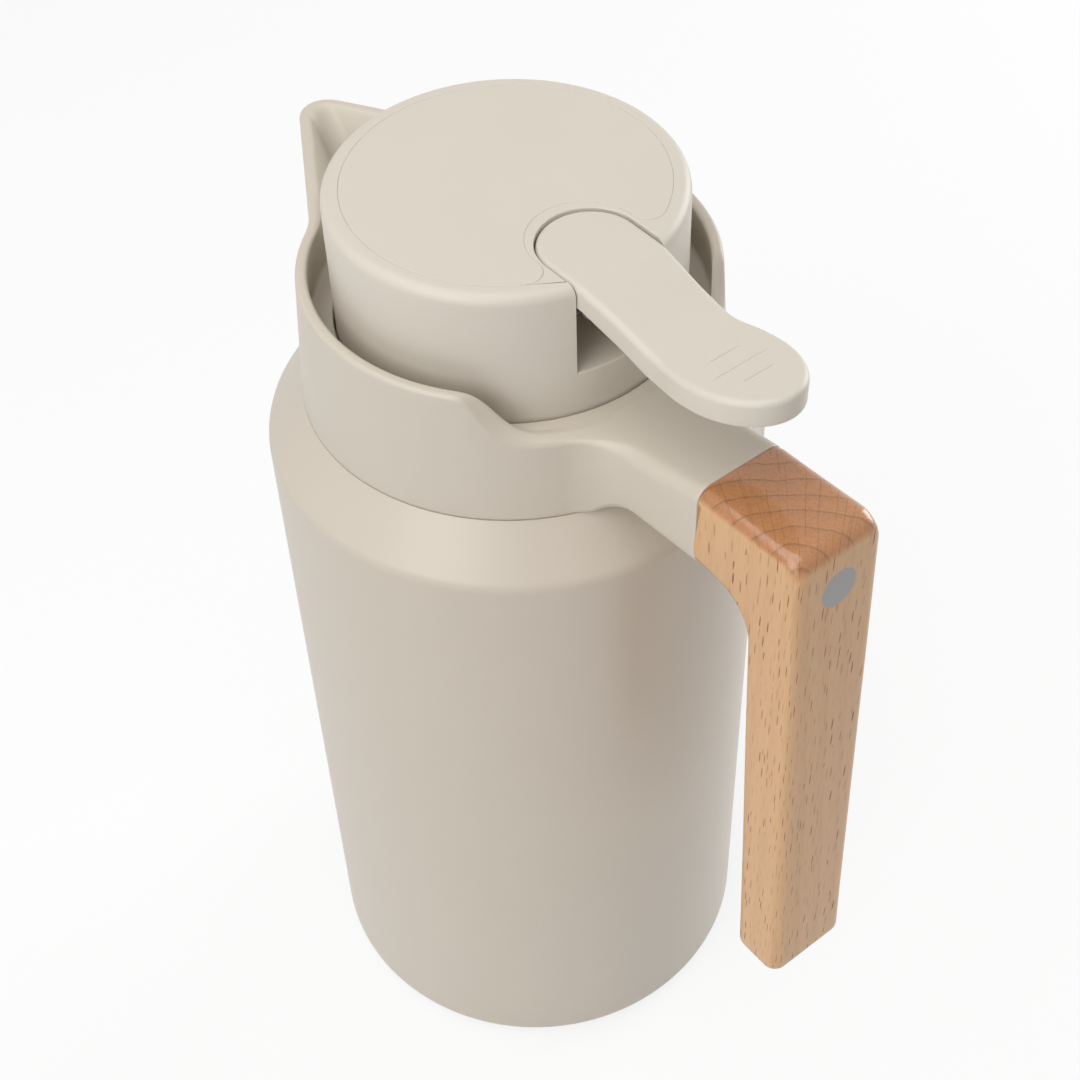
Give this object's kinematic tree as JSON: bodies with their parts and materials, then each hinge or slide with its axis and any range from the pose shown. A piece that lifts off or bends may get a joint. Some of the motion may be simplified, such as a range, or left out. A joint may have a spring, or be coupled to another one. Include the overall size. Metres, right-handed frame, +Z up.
{
  "type": "thermal jug",
  "caption": "Insulated serving jug with a V spout, an L-shaped wooden grip and a drum stopper whose thumb lever lifts a sprung pouring valve.",
  "frame": {"origin": "on the jug's axis, on the surface that it stands on", "axes": "+Z up the jug's axis, +X towards the handle, the spout points along -X"},
  "size_m": [0.1848, 0.115, 0.2546],
  "materials": {
    "body_paint": "satin warm beige",
    "collar_plastic": "fine satin beige",
    "lid_plastic": "fine satin beige",
    "lever_plastic": "fine satin beige",
    "inner_plastic": "plain moulded",
    "beech": "lacquered beech",
    "plug_plastic": "satin grey",
    "steel": "brushed",
    "brass": "turned",
    "silicone": "matt translucent grey"
  },
  "bodies": {
    "jug": {"outer_shell": "body_paint", "inner_flask": "steel", "base_plate": "steel", "base_pad": "silicone", "getter": "steel", "spout_collar": "collar_plastic", "neck_gasket": "silicone", "handle_insert": "brass", "handle_grip": "beech", "handle_screw": "steel", "screw_plug": "plug_plastic"},
    "lid_seal": {"stopper_gasket": "silicone"},
    "lid": {"lid_body": "lid_plastic", "lid_panel": "lid_plastic", "stopper_cup": "inner_plastic", "spring_seat": "steel", "stem_seal": "silicone", "lever_pin": "steel", "valve_spring": "steel"},
    "lever": {"lever": "lever_plastic"},
    "valve": {"valve_stem": "inner_plastic", "valve_plate": "inner_plastic", "valve_washer": "silicone", "valve_nut": "steel", "link_pin": "steel"}
  },
  "joints": [
    {"name": "lid_lift", "type": "slide", "parent": "jug", "child": "lid_seal", "axis": [0, 0, 1], "range_m": [0, 0.1]},
    {"name": "lid_turn", "type": "hinge", "parent": "lid_seal", "child": "lid", "pos_m": [0, 0, 0.222], "axis": [0, 0, 1], "range_deg": [0, 90]},
    {"name": "lever_press", "type": "hinge", "parent": "lid", "child": "lever", "pos_m": [0.033, 0, 0.245], "axis": [0, 1, 0], "range_deg": [0, 10], "stiffness_Nm_per_rad": 0.25, "springref_deg": -5.73},
    {"name": "valve_lift", "type": "slide", "parent": "lid", "child": "valve", "axis": [0, 0, 1], "range_m": [0, 0.0058], "deforming": ["valve_spring"]}
  ],
  "couplings": [
    {"joint": "lever_press", "follows": "valve_lift", "rad_per_m": 30.05}
  ]
}
